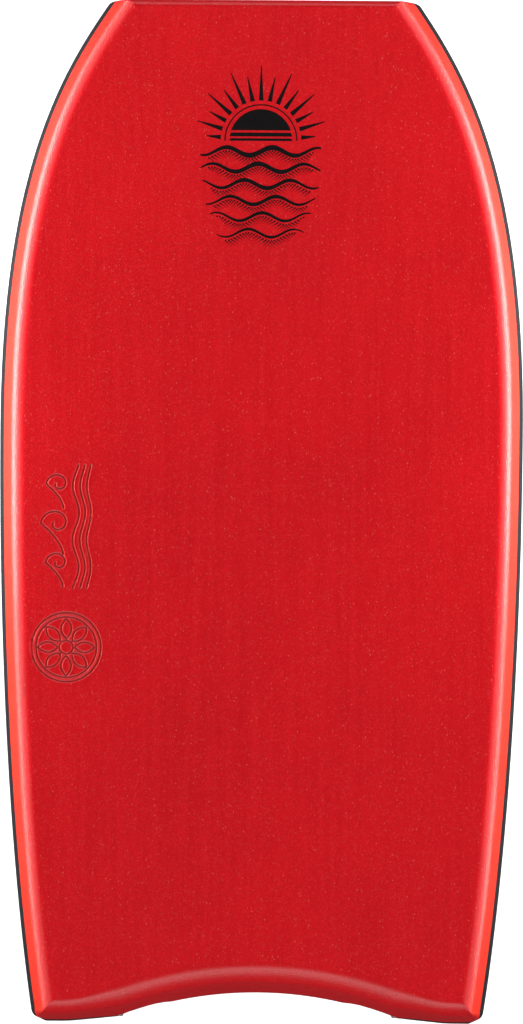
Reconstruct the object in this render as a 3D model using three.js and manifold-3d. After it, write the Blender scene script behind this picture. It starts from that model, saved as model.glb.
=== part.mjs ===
// A 42 inch bodyboard, taken apart into the pieces it is laminated from: a foam core on a carbon stringer,
// a mesh sheet and a slick under it, a deck skin over it, and foam rails and bumpers round its edge.
//
// Millimetres, +Z up out of the deck, +Y towards the nose, +X to the rider's right.
// The origin is under the middle of the board, on the surface that the slick rests on.
//
// The board is first described flat. A ring is one contour line round the board, given by how far in
// from the widest outline it runs on the side, at the nose and at the tail, and by its height.
// Sheets are grids stretched inside a ring, solids are skins over a stack of rings, and the rocker
// bends every point upwards at the end.
import * as THREE from "three";
import { mergeVertices } from "three/addons/utils/BufferGeometryUtils.js";
import Module from "manifold-3d";

// ---------------------------------------------------------------- driving dimensions

const LENGTH = 1067; // 42 in
const WIDTH = 546.2; // 21.5 in, at the wide point
const NOSE_WIDTH = 318.6; // between the nose corners, before they are rounded
const TAIL_WIDTH = 468.4; // between the tail corners, before they are rounded
const WIDE_POINT = 443.7; // from the nose
const THICKNESS = 55;
const NOSE_LIFT = 30; // rocker: how far the nose rises
const ROCKER_START = 60; // the rocker begins this far forward of the middle
const ROCKER_POWER = 2.2;

// Directions and handle lengths of the two curves that make one side of the outline.
const NOSE_TAPER = THREE.MathUtils.degToRad(34.3);
const TAIL_TAPER = THREE.MathUtils.degToRad(9.2);
const NOSE_HANDLE = 81.8;
const TAIL_HANDLE = 81.6;
const WIDE_HANDLE_FRONT = 277;
const WIDE_HANDLE_REAR = 334.5;

// Side edge, from the slick up: undercut lower rail, ridge, upper rail, chine, rounded deck edge.
const SLICK_INSET = 12;
const RIDGE_HEIGHT = 21;
const RAIL_TOP = 33;
const RAIL_TOP_INSET = 4.3;
const CHINE_ANGLE = THREE.MathUtils.degToRad(62);
const CHINE_RADIUS = 18;

// Nose: undercut face under a quarter round.
const NOSE_UNDERCUT = 3;
const NOSE_RADIUS = 8;

// Tail: a crescent with straight tips, and a bevelled face that leans forward to the deck.
const CRESCENT_DEPTH = 31; // of the tail's bottom edge, at the centreline
const CRESCENT_RADIUS = 400;
const KINK = 140; // half the width of the crescent's arc; the straight tips begin here
const TIP_END = 197; // the tips reach furthest back from here to the corners
const DECK_CRESCENT_DEPTH = 65;
const DECK_CRESCENT_RADIUS = 440;
const DECK_TIP_DEPTH = 25; // where the deck's own edge levels out behind the tips
const DECK_TIP_BLEND = 8;
const TAIL_ANGLE = THREE.MathUtils.degToRad(70);
const TAIL_RADIUS = 24;

// The lower rail runs on round each tail corner and thins out along the foot of the tail: the height
// of its upper face at the middle of the corner and at the lengthwise lines inboard of it.
const RAIL_TAPER = [21, 13, 9, 7.6, 5.8, 3];

// Corners, as the length of straight edge that each rounded corner takes up.
const NOSE_CORNER = 6;
const TAIL_CORNER = 9;

// Laminated layers and the bonding gap between neighbours.
const GAP = 0.3;
const DECK_SKIN = 4;
const SLICK = 1.2;
const MESH = 0.8;
const RAIL = 7; // how thick the rail and bumper strips are

// Two channels in the slick, deepening to the tail, and the distances from the centreline between
// which their sloping walls run.
const CHANNEL_LENGTH = 330;
const CHANNEL_DEPTH = 7;
const CHANNEL_INNER = [90, 100];
const CHANNEL_OUTER = [138, 148];

// Carbon tube in the core, with its end caps and the foam plug behind it.
const STRINGER_RADIUS = 6;
const STRINGER_WALL = 1.5;
const STRINGER_FRONT = 380;
const STRINGER_REAR = -440;
const STRINGER_HEIGHT = 26.5;
const CAP_FLANGE = 2;
const CAP_SPIGOT = 12;
const BORE_SIDES = 16;

// How finely the board is divided. Lines run along it at these distances from the centreline and
// draw together towards the nose.
const LINES = [0, 30, 60, ...CHANNEL_INNER, ...CHANNEL_OUTER, 172, TIP_END];
const NOSE_DRAW = 0.6;
const SIDE_STEPS = 18;
const CORNER_STEPS = 2; // for each half of a rounded corner

// ---------------------------------------------------------------- derived heights

const NOSE_Y = LENGTH / 2;
const TAIL_Y = -LENGTH / 2;
const WIDE_Y = NOSE_Y - WIDE_POINT;
const CHINE_TOP = THICKNESS - CHINE_RADIUS * (1 - Math.cos(CHINE_ANGLE));
const CHINE_RUN = (CHINE_TOP - RAIL_TOP) / Math.tan(CHINE_ANGLE);
const DECK_FLAT_INSET = RAIL_TOP_INSET + CHINE_RUN + CHINE_RADIUS * Math.sin(CHINE_ANGLE);
const NOSE_ROUND_FOOT = THICKNESS - NOSE_RADIUS;
const TAIL_BEVEL = DECK_CRESCENT_DEPTH - CRESCENT_DEPTH;
const TAIL_ROUND_FOOT = THICKNESS - TAIL_RADIUS * (1 - Math.cos(TAIL_ANGLE));
const TAIL_ROUND_RUN = TAIL_RADIUS * Math.sin(TAIL_ANGLE);
const TAIL_LEAN = (TAIL_BEVEL - TAIL_ROUND_RUN) / TAIL_ROUND_FOOT;
const RAIL_FOOT = SLICK + GAP;
const MESH_FOOT = SLICK + GAP;
const CORE_FOOT = MESH_FOOT + MESH + GAP;

// ---------------------------------------------------------------- the outline from above

const tailCorner = new THREE.Vector2(TAIL_WIDTH / 2, TAIL_Y);
const noseCorner = new THREE.Vector2(NOSE_WIDTH / 2, NOSE_Y);
const rearCurve = new THREE.CubicBezierCurve(
  tailCorner,
  new THREE.Vector2(
    tailCorner.x + TAIL_HANDLE * Math.sin(TAIL_TAPER),
    tailCorner.y + TAIL_HANDLE * Math.cos(TAIL_TAPER),
  ),
  new THREE.Vector2(WIDTH / 2, WIDE_Y - WIDE_HANDLE_REAR),
  new THREE.Vector2(WIDTH / 2, WIDE_Y),
);
const frontCurve = new THREE.CubicBezierCurve(
  new THREE.Vector2(WIDTH / 2, WIDE_Y),
  new THREE.Vector2(WIDTH / 2, WIDE_Y + WIDE_HANDLE_FRONT),
  new THREE.Vector2(
    noseCorner.x + NOSE_HANDLE * Math.sin(NOSE_TAPER),
    noseCorner.y - NOSE_HANDLE * Math.cos(NOSE_TAPER),
  ),
  noseCorner,
);
const sidePath = new THREE.CurvePath();
sidePath.add(rearCurve);
sidePath.add(frontCurve);
const SIDE_LENGTH = sidePath.getLength();

// A point on the right side, a distance along it from the tail corner and an inset inside it.
// Past its ends the side runs straight on.
function sidePoint(distance, inset) {
  const share = THREE.MathUtils.clamp(distance / SIDE_LENGTH, 0, 1);
  const along = sidePath.getTangentAt(share);
  const past = distance - share * SIDE_LENGTH;
  return sidePath
    .getPointAt(share)
    .addScaledVector(along, past)
    .add(new THREE.Vector2(-along.y, along.x).multiplyScalar(inset));
}

const sag = (radius, x) => radius - Math.sqrt(radius * radius - x * x);

// The tail's bottom edge: the crescent's arc, then a straight tip.
function bottomTailEdge(x) {
  const kinkDepth = CRESCENT_DEPTH - sag(CRESCENT_RADIUS, KINK);
  if (x <= KINK) return TAIL_Y + CRESCENT_DEPTH - sag(CRESCENT_RADIUS, x);
  return TAIL_Y + kinkDepth * Math.max(0, (TIP_END - x) / (TIP_END - KINK));
}

// The line where the flat deck ends at the tail: a shallower arc that levels out softly.
function deckTailEdge(x) {
  const arc = DECK_CRESCENT_DEPTH - sag(DECK_CRESCENT_RADIUS, x);
  const apart = Math.hypot(arc - DECK_TIP_DEPTH, DECK_TIP_BLEND);
  return TAIL_Y + (arc + DECK_TIP_DEPTH + apart) / 2;
}

// The tail line that lies a given run behind the deck's edge, as measured at the centreline.
function tailLine(x, run) {
  return THREE.MathUtils.lerp(deckTailEdge(x), bottomTailEdge(x), run / TAIL_BEVEL);
}

// How far along the side its inset line crosses a line across the board.
function crossing(inset, low, high, lineAt) {
  for (let step = 0; step < 40; step++) {
    const middle = (low + high) / 2;
    const at = sidePoint(middle, inset);
    if (at.y < lineAt(at.x)) low = middle;
    else high = middle;
  }
  return (low + high) / 2;
}

// ---------------------------------------------------------------- profiles of the edge

const sideInset = (z) =>
  z < RIDGE_HEIGHT
    ? SLICK_INSET * (1 - z / RIDGE_HEIGHT)
    : (RAIL_TOP_INSET * (z - RIDGE_HEIGHT)) / (RAIL_TOP - RIDGE_HEIGHT);
const noseInset = (z) => NOSE_UNDERCUT * (1 - z / NOSE_ROUND_FOOT);
const tailRun = (z) =>
  THREE.MathUtils.mapLinear(z, 0, TAIL_ROUND_FOOT, TAIL_BEVEL, TAIL_ROUND_RUN);

// A ring of the outer faces at one height, moved inwards by a depth.
const faceRing = (z, depth) => ({
  side: sideInset(z) + depth,
  nose: noseInset(z) + depth,
  tail: tailRun(z) - depth,
  z: { side: z, nose: z, tail: z },
});

// A ring on the rounded edge of the deck, a depth under its surface. Turn 0 is where the flat deck
// ends and 1 where the round meets the face below.
function roundRing(turn, depth) {
  const height = (radius, angle) =>
    THICKNESS - depth - (radius - depth) * (1 - Math.cos(angle * turn));
  const reach = (radius, angle) => (radius - depth) * Math.sin(angle * turn);
  return {
    side: DECK_FLAT_INSET - reach(CHINE_RADIUS, CHINE_ANGLE),
    nose: NOSE_RADIUS - reach(NOSE_RADIUS, Math.PI / 2),
    tail: reach(TAIL_RADIUS, TAIL_ANGLE),
    z: {
      side: height(CHINE_RADIUS, CHINE_ANGLE),
      nose: height(NOSE_RADIUS, Math.PI / 2),
      tail: height(TAIL_RADIUS, TAIL_ANGLE),
    },
  };
}

// The lower edge of the deck skin, level all round, on its outer or inner face.
const rimRing = (depth) => ({
  side: RAIL_TOP_INSET + depth / Math.sin(CHINE_ANGLE),
  nose: noseInset(RAIL_TOP) + depth,
  tail: tailRun(RAIL_TOP) - depth / Math.sin(TAIL_ANGLE),
  z: { side: RAIL_TOP, nose: RAIL_TOP, tail: RAIL_TOP },
});

// A ring just inside the rails and bumpers, with a wider bond line behind the tail bumper.
const innerRing = (z) => ({
  ...faceRing(z, RAIL + GAP),
  tail: tailRun(z) - RAIL - 3 * GAP,
});

// The same ring at another height, for the upper face of a sheet with square edges.
const liftedTo = (z, ring) => ({ ...ring, z: { side: z, nose: z, tail: z } });

// ---------------------------------------------------------------- points of a ring

const share = (step) => step / CORNER_STEPS / 2;

// The distances from the centreline of the lengthwise lines.
function linesAt(y) {
  const towardsNose = THREE.MathUtils.smoothstep(y, TAIL_Y + CHANNEL_LENGTH, NOSE_Y);
  return LINES.map((x) => x * THREE.MathUtils.lerp(1, NOSE_DRAW, towardsNose));
}

// The right half of a ring: rows of points from the centreline of the tail to its corner, up the side,
// and from the centreline of the nose to its corner. Each ends halfway round its rounded corner.
function halfRing(ring) {
  const noseLine = NOSE_Y - ring.nose;
  const tailAt = (x) => tailLine(x, ring.tail);
  const start = crossing(ring.side, -60, SIDE_LENGTH / 2, tailAt);
  const end = crossing(ring.side, SIDE_LENGTH / 2, SIDE_LENGTH + 60, () => noseLine);
  const tailTrim = Math.max(TAIL_CORNER - ring.side / 2, TAIL_CORNER / 3);
  const noseTrim = Math.max(NOSE_CORNER - ring.side / 4, NOSE_CORNER / 3);
  const tailTip = sidePoint(start, ring.side);
  const noseTip = sidePoint(end, ring.side);
  const tailEnd = tailTip.x - tailTrim;
  const noseEnd = noseTip.x - noseTrim;
  const tailRound = new THREE.QuadraticBezierCurve(
    new THREE.Vector2(tailEnd, tailAt(tailEnd)),
    tailTip,
    sidePoint(start + tailTrim, ring.side),
  );
  const noseRound = new THREE.QuadraticBezierCurve(
    new THREE.Vector2(noseEnd, noseLine),
    noseTip,
    sidePoint(end - noseTrim, ring.side),
  );
  const { side, nose, tail } = ring.z;
  const point = (at, z) => new THREE.Vector3(at.x, at.y, z);
  const tailRow = [...linesAt(TAIL_Y), tailEnd].map((x) => new THREE.Vector3(x, tailAt(x), tail));
  const noseRow = [...linesAt(NOSE_Y), noseEnd].map((x) => new THREE.Vector3(x, noseLine, nose));
  const sideRow = [];
  for (let step = 1; step <= CORNER_STEPS; step++) {
    const t = share(step);
    tailRow.push(point(tailRound.getPoint(t), THREE.MathUtils.lerp(tail, side, t)));
    noseRow.push(point(noseRound.getPoint(t), THREE.MathUtils.lerp(nose, side, t)));
  }
  for (let step = CORNER_STEPS; step <= 2 * CORNER_STEPS; step++) {
    const t = share(step);
    sideRow.push(point(tailRound.getPoint(t), THREE.MathUtils.lerp(tail, side, t)));
  }
  const first = start + tailTrim;
  const last = end - noseTrim;
  for (let step = 1; step < SIDE_STEPS; step++) {
    const at = THREE.MathUtils.lerp(first, last, step / SIDE_STEPS);
    sideRow.push(point(sidePoint(at, ring.side), side));
  }
  for (let step = 2 * CORNER_STEPS; step >= CORNER_STEPS; step--) {
    const t = share(step);
    sideRow.push(point(noseRound.getPoint(t), THREE.MathUtils.lerp(nose, side, t)));
  }
  return { tailRow, sideRow, noseRow };
}

const mirrored = (p) => new THREE.Vector3(-p.x, p.y, p.z);
const wholeRow = (half) => [...half.slice(1).reverse().map(mirrored), ...half];

// The points inside a ring, in rows from the tail to the nose, each row from left to right. The
// tail's curve fades out quickly towards the nose.
function gridOf(ring) {
  const { tailRow, sideRow, noseRow } = halfRing(ring);
  const tailEnd = tailRow.at(-1);
  const noseEnd = noseRow.at(-1);
  const lastLine = LINES.length - 1;
  const outward = (row, column) =>
    (row[column].x - row[lastLine].x) / (row.at(-1).x - row[lastLine].x);
  const between = sideRow.slice(1, -1).map((edge) => {
    const v = (edge.y - tailEnd.y) / (noseEnd.y - tailEnd.y);
    const across = linesAt(edge.y);
    for (let column = lastLine + 1; column < tailRow.length; column++) {
      const t = THREE.MathUtils.lerp(outward(tailRow, column), outward(noseRow, column), v);
      across.push(THREE.MathUtils.lerp(across[lastLine], edge.x, t));
    }
    return across.map((x, column) => {
      const tailShift = (1 - v) ** 4 * (tailRow[column].y - tailEnd.y);
      const noseShift = v ** 4 * (noseRow[column].y - noseEnd.y);
      return new THREE.Vector3(x, edge.y + tailShift + noseShift, edge.z);
    });
  });
  return [tailRow, ...between, noseRow].map(wholeRow);
}

// The outline of a grid, anticlockwise from above, from the left tail corner.
function loopOf(grid) {
  const last = grid.length - 1;
  return [
    ...grid[0],
    ...grid.slice(1, last).map((row) => row.at(-1)),
    ...[...grid[last]].reverse(),
    ...grid.slice(1, last).reverse().map((row) => row[0]),
  ];
}

// ---------------------------------------------------------------- bending and skinning

const rocker = (y) =>
  NOSE_LIFT * Math.max(0, (y - ROCKER_START) / (NOSE_Y - ROCKER_START)) ** ROCKER_POWER;

// How far the channels raise the slick at one point.
function channelRise({ x, y }) {
  const { smoothstep, clamp, mapLinear } = THREE.MathUtils;
  const wall = ([low, high]) => clamp(mapLinear(Math.abs(x), low, high, 0, 1), 0, 1);
  const across = wall(CHANNEL_INNER) - wall(CHANNEL_OUTER);
  return CHANNEL_DEPTH * across * (1 - smoothstep(y, TAIL_Y, TAIL_Y + CHANNEL_LENGTH));
}

// A grid whose points are raised by the channels, for the layers that follow the slick. Its tail edge
// moves forwards with the leaning face as it rises.
const channelled = (grid) =>
  grid.map((row, index) =>
    row.map((p) => {
      const rise = channelRise(p);
      const run = deckTailEdge(Math.abs(p.x)) - bottomTailEdge(Math.abs(p.x));
      const shift = index <= CORNER_STEPS ? (rise * TAIL_LEAN * run) / TAIL_BEVEL : 0;
      return new THREE.Vector3(p.x, p.y + shift, p.z + rise);
    }),
  );

// Collects triangles, bends them with the rocker and returns them as a geometry.
class Skin {
  points = [];

  triangle(a, b, c) {
    for (const p of [a, b, c]) this.points.push(p.x, p.y, p.z + rocker(p.y));
  }

  // Four corners, split along the shorter diagonal so that both sides of the board come out alike.
  quad(a, b, c, d) {
    if (a.distanceTo(c) < b.distanceTo(d) + 1e-3) {
      this.triangle(a, b, c);
      this.triangle(a, c, d);
    } else {
      this.triangle(a, b, d);
      this.triangle(b, c, d);
    }
  }

  // A grid that faces up, or down where turned is true.
  grid(grid, turned) {
    for (let row = 1; row < grid.length; row++)
      for (let column = 1; column < grid[row].length; column++) {
        const [a, b] = [grid[row - 1][column - 1], grid[row - 1][column]];
        const [c, d] = [grid[row][column], grid[row][column - 1]];
        if (turned) this.quad(a, d, c, b);
        else this.quad(a, b, c, d);
      }
  }

  // The wall between two loops or two open rows, facing right of the way they run as they rise.
  wall(lower, upper, closed) {
    const steps = closed ? lower.length : lower.length - 1;
    for (let i = 0; i < steps; i++) {
      const next = (i + 1) % lower.length;
      this.quad(lower[i], lower[next], upper[next], upper[i]);
    }
  }

  // The end of a strip, whose section lists one face and then the other, back the other way.
  cap(section, turned) {
    const last = section.length - 1;
    for (let i = 1; 2 * i < section.length; i++) {
      const [a, b, c, d] = [section[i - 1], section[i], section[last - i], section[last + 1 - i]];
      if (turned) this.quad(a, d, c, b);
      else this.quad(a, b, c, d);
    }
  }

  geometry() {
    const made = new THREE.BufferGeometry();
    made.setAttribute("position", new THREE.Float32BufferAttribute(this.points, 3));
    made.computeVertexNormals();
    return made;
  }
}

// A solid between a lower grid and an upper one, with rings in between.
function stack(lowerGrid, rings, upperGrid) {
  const skin = new Skin();
  skin.grid(lowerGrid, true);
  const loops = [lowerGrid, ...rings.map(gridOf), upperGrid].map(loopOf);
  for (let i = 1; i < loops.length; i++) skin.wall(loops[i - 1], loops[i], true);
  skin.grid(upperGrid, false);
  return skin.geometry();
}

// The points of one strip along the edge, between two stations of the loop: its section is a list of
// [height, depth] pairs, where a height may change from station to station.
const LEVELS = [RAIL_FOOT, RIDGE_HEIGHT, RAIL_TOP];
const levelLoops = (depth) => LEVELS.map((z) => loopOf(gridOf(faceRing(z, depth))));
const edgeLoops = new Map([0, RAIL].map((depth) => [depth, levelLoops(depth)]));

// A point on the outer face or on the strips' inner face, at a station of the loop and a height.
function edgePoint(station, height, depth) {
  const [foot, ridge, top] = edgeLoops.get(depth).map((loop) => loop.at(station % loop.length));
  if (height < RIDGE_HEIGHT)
    return foot.clone().lerp(ridge, (height - RAIL_FOOT) / (RIDGE_HEIGHT - RAIL_FOOT));
  return ridge.clone().lerp(top, (height - RIDGE_HEIGHT) / (RAIL_TOP - RIDGE_HEIGHT));
}

// A strip along the edge from one station to another. Its section goes down the outer face and back up
// the inner one, through the heights given for a station. Its ends stop half a gap short, which leaves
// a gap to the next strip.
function strip(heightsAt, from, to) {
  const rows = [];
  for (let station = from; station <= to; station++) {
    const heights = heightsAt(station);
    const outer = heights.map((z) => edgePoint(station, z, 0));
    const inner = heights.map((z) => edgePoint(station, z, RAIL));
    rows.push([...outer.reverse(), ...inner]);
  }
  const shorten = (end, next) =>
    end.forEach((p, i) => p.add(next[i].clone().sub(p).setLength(GAP / 2)));
  shorten(rows[0], rows[1]);
  shorten(rows.at(-1), rows.at(-2));
  const skin = new Skin();
  for (let i = 1; i < rows.length; i++) skin.wall(rows[i - 1], rows[i], true);
  skin.cap(rows[0], true);
  skin.cap(rows.at(-1), false);
  return skin.geometry();
}

// ---------------------------------------------------------------- where strips begin and end

const COLUMNS = 2 * (LINES.length + CORNER_STEPS); // cells across
const ROWS = SIDE_STEPS + 2 * CORNER_STEPS; // cells along
const LEFT_TAIL_CORNER = 0;
const RIGHT_TAIL_CORNER = COLUMNS;
const RIGHT_NOSE_CORNER = COLUMNS + ROWS;
const RIGHT_NOSE_END = RIGHT_NOSE_CORNER + CORNER_STEPS;
const LEFT_NOSE_END = RIGHT_NOSE_CORNER + COLUMNS - CORNER_STEPS;

// ---------------------------------------------------------------- materials

const material = (color, roughness, metalness = 0) =>
  new THREE.MeshStandardMaterial({ color, roughness, metalness });
const deckFoam = material(0xd01c26, 0.55);
const railFoam = material(0x2b2f33, 0.7);
const coreFoam = material(0xe9e9e4, 0.9);
const slickPlastic = material(0xe4e6e6, 0.25);
const meshPlastic = material(0x8f979c, 0.6);
const carbon = material(0x17181a, 0.35);
const capPlastic = material(0x30343a, 0.5);

// ---------------------------------------------------------------- pieces

function deckSkin() {
  const inner = gridOf(roundRing(0, DECK_SKIN));
  const outer = gridOf(roundRing(0, 0));
  const rings = [
    roundRing(0.5, DECK_SKIN),
    roundRing(1, DECK_SKIN),
    rimRing(DECK_SKIN),
    rimRing(0),
    roundRing(1, 0),
    roundRing(0.5, 0),
  ];
  return stack(inner, rings, outer);
}

// A sheet that follows the channels, from a ring up.
function sheet(ring, thickness) {
  const lower = gridOf(ring);
  const upper = gridOf(liftedTo(ring.z.side + thickness, ring));
  return stack(channelled(lower), [], channelled(upper));
}

const slick = () => sheet(faceRing(0, 0), SLICK);
const bottomMesh = () => sheet(innerRing(MESH_FOOT), MESH);

function coreBlock() {
  const under = DECK_SKIN + 4 * GAP;
  const rings = [
    innerRing(RIDGE_HEIGHT),
    innerRing(RAIL_TOP),
    roundRing(1, under),
    roundRing(0.5, under),
  ];
  return stack(channelled(gridOf(innerRing(CORE_FOOT))), rings, gridOf(roundRing(0, under)));
}

// The height of the lower rail's upper face: the ridge along the side, tapering round the tail corner.
function lowerRailTop(station) {
  return RAIL_TAPER[Math.max(0, RIGHT_TAIL_CORNER - station)];
}

const lowerRail = () =>
  strip(
    (station) => [RAIL_FOOT, lowerRailTop(station) - GAP / 2],
    RIGHT_TAIL_CORNER - RAIL_TAPER.length + 1,
    RIGHT_NOSE_END,
  );

const upperRail = () =>
  strip(() => [RIDGE_HEIGHT + GAP / 2, RAIL_TOP - GAP], RIGHT_TAIL_CORNER, RIGHT_NOSE_END);

const noseBumper = () =>
  strip(() => [RAIL_FOOT, RIDGE_HEIGHT, RAIL_TOP - GAP], RIGHT_NOSE_END, LEFT_NOSE_END);

// The tail bumper sits on the tapering rails at its ends and follows the channels between them.
function tailBumper() {
  const heights = (station) => {
    const past = Math.min(station - LEFT_TAIL_CORNER, RIGHT_TAIL_CORNER - station);
    const onRail = past < RAIL_TAPER.length;
    const rise = channelRise(edgePoint(station, RAIL_FOOT, 0));
    const foot = onRail ? RAIL_TAPER[past] + GAP : RAIL_FOOT + rise;
    return [foot, Math.max(RIDGE_HEIGHT, (foot + RAIL_TOP) / 2), RAIL_TOP - GAP];
  };
  return strip(heights, LEFT_TAIL_CORNER, RIGHT_TAIL_CORNER);
}

// ---------------------------------------------------------------- round pieces on the stringer's line

const STRINGER_STEPS = 16;

// A turned piece lying along the board, from a profile of [radius, y] points. Long stretches of the
// profile are divided so that the piece can follow the rocker.
function turned(profile) {
  const points = [];
  profile.forEach(([radius, y], i) => {
    const [nextRadius, nextY] = profile[(i + 1) % profile.length];
    const steps = Math.abs(nextY - y) > 100 ? STRINGER_STEPS : 1;
    for (let step = 0; step < steps; step++) {
      const t = step / steps;
      points.push(
        new THREE.Vector2(
          THREE.MathUtils.lerp(radius, nextRadius, t),
          THREE.MathUtils.lerp(y, nextY, t),
        ),
      );
    }
  });
  const onAxis = profile[0][0] === 0;
  if (!onAxis) points.push(points[0].clone());
  const made = new THREE.LatheGeometry(points, BORE_SIDES);
  made.translate(0, 0, STRINGER_HEIGHT);
  const at = made.getAttribute("position");
  for (let i = 0; i < at.count; i++) at.setZ(i, at.getZ(i) + rocker(at.getY(i)));
  return made;
}

const STRINGER_INSIDE = STRINGER_RADIUS - STRINGER_WALL;
const BORE_RADIUS = STRINGER_RADIUS + GAP;
const BORE_FRONT = STRINGER_FRONT + CAP_FLANGE + 2 * GAP;

function stringerTube() {
  return turned([
    [STRINGER_INSIDE, STRINGER_REAR],
    [STRINGER_RADIUS, STRINGER_REAR],
    [STRINGER_RADIUS, STRINGER_FRONT],
    [STRINGER_INSIDE, STRINGER_FRONT],
  ]);
}

// A cap with its flange against one end of the tube. Way is +1 at the front end and -1 at the rear.
function stringerCap(end, way) {
  const spigot = STRINGER_INSIDE - GAP;
  const profile = [
    [0, end - way * CAP_SPIGOT],
    [spigot, end - way * CAP_SPIGOT],
    [spigot, end + way * GAP],
    [STRINGER_RADIUS, end + way * GAP],
    [STRINGER_RADIUS, end + way * (GAP + CAP_FLANGE)],
    [0, end + way * (GAP + CAP_FLANGE)],
  ];
  return turned(way > 0 ? profile : profile.reverse());
}

const PLUG_FRONT = STRINGER_REAR - CAP_FLANGE - 2 * GAP;
const PLUG_LEAN = TAIL_LEAN * (STRINGER_HEIGHT + STRINGER_RADIUS);
const PLUG_REAR = TAIL_Y + CRESCENT_DEPTH + RAIL + PLUG_LEAN + 2 * GAP;

function stringerPlug() {
  return turned([
    [0, PLUG_REAR],
    [STRINGER_RADIUS, PLUG_REAR],
    [STRINGER_RADIUS, PLUG_FRONT],
    [0, PLUG_FRONT],
  ]);
}

// ---------------------------------------------------------------- cutting the stringer's bore

const wasm = await Module();
wasm.setup();

function solidOf(geometry) {
  const bare = geometry.clone();
  for (const name of ["normal", "uv"]) bare.deleteAttribute(name);
  const merged = mergeVertices(bare, 1e-3);
  const mesh = new wasm.Mesh({
    numProp: 3,
    vertProperties: merged.getAttribute("position").array,
    triVerts: new Uint32Array(merged.getIndex().array),
  });
  return new wasm.Manifold(mesh);
}

function geometryOf(solid) {
  const { vertProperties, triVerts } = solid.getMesh();
  const made = new THREE.BufferGeometry();
  made.setAttribute("position", new THREE.BufferAttribute(vertProperties, 3));
  made.setIndex(new THREE.BufferAttribute(triVerts, 1));
  made.computeVertexNormals();
  return made;
}

// The bore runs in from the core's tail face and ends in front of the stringer.
function boredCore() {
  const bore = turned([
    [0, TAIL_Y],
    [BORE_RADIUS, TAIL_Y],
    [BORE_RADIUS, BORE_FRONT],
    [0, BORE_FRONT],
  ]);
  return geometryOf(solidOf(coreBlock()).subtract(solidOf(bore)));
}

// ---------------------------------------------------------------- assembly

const board = new THREE.Group();

function add(name, geometry, finish) {
  const mesh = new THREE.Mesh(geometry, finish);
  mesh.name = name;
  board.add(mesh);
  return mesh;
}

// The left copy of a right-hand strip.
function addMirrored(name, mesh) {
  const copy = add(name, mesh.geometry, mesh.material);
  copy.scale.x = -1;
}

add("core", boredCore(), coreFoam);
add("stringer_tube", stringerTube(), carbon);
add("stringer_cap_front", stringerCap(STRINGER_FRONT, 1), capPlastic);
add("stringer_cap_rear", stringerCap(STRINGER_REAR, -1), capPlastic);
add("stringer_plug", stringerPlug(), coreFoam);
add("bottom_mesh", bottomMesh(), meshPlastic);
add("slick", slick(), slickPlastic);
add("deck_skin", deckSkin(), deckFoam);
addMirrored(
  "lower_rail_left",
  add("lower_rail_right", lowerRail(), railFoam),
);
addMirrored(
  "upper_rail_left",
  add("upper_rail_right", upperRail(), railFoam),
);
add("nose_bumper", noseBumper(), deckFoam);
add("tail_bumper", tailBumper(), deckFoam);

export default board;
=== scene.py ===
# A bodyboard lying deck up on a pale floor, seen from straight above with its nose at the top.
import math

import bpy
import numpy as np
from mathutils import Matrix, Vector


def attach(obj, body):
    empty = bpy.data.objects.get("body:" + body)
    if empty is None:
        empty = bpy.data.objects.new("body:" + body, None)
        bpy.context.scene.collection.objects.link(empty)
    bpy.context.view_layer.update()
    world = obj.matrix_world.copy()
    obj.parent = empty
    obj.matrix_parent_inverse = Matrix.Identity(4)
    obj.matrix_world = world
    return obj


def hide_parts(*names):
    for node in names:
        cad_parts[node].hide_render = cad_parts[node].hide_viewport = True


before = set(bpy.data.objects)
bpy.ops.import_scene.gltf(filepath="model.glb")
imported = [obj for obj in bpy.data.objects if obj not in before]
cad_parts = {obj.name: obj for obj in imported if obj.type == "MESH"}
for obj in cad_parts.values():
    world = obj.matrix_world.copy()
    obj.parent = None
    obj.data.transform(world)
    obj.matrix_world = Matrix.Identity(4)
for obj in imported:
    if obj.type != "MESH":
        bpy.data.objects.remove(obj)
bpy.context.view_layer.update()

MM = 0.001

# ---------------------------------------------------------------- dimensions, as in the solids (mm)

LENGTH, WIDTH, THICKNESS = 1067.0, 546.2, 55.0
NOSE_Y, TAIL_Y = LENGTH / 2, -LENGTH / 2
WIDE_Y = NOSE_Y - 443.7
NOSE_LIFT, ROCKER_START, ROCKER_POWER = 30.0, 60.0, 2.2
SLICK_INSET, RIDGE, RAIL_TOP, RAIL_TOP_INSET = 12.0, 21.0, 33.0, 4.3
CHINE_ANGLE, CHINE_RADIUS = math.radians(62), 18.0
NOSE_UNDERCUT, NOSE_RADIUS = 3.0, 8.0
CRESCENT_DEPTH, CRESCENT_RADIUS, KINK, TIP_END = 31.0, 400.0, 140.0, 197.0
DECK_CRESCENT_DEPTH, DECK_CRESCENT_RADIUS, DECK_TIP_DEPTH, DECK_TIP_BLEND = 65.0, 440.0, 25.0, 8.0
TAIL_ANGLE, TAIL_RADIUS = math.radians(70), 24.0
NOSE_CORNER, TAIL_CORNER = 6.0, 9.0
DECK_SKIN, SLICK, RAIL = 4.0, 1.2, 7.0
CHANNEL_LENGTH, CHANNEL_DEPTH = 330.0, 7.0
CHANNEL_INNER, CHANNEL_OUTER = (88.0, 103.0), (135.0, 150.0)

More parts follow.
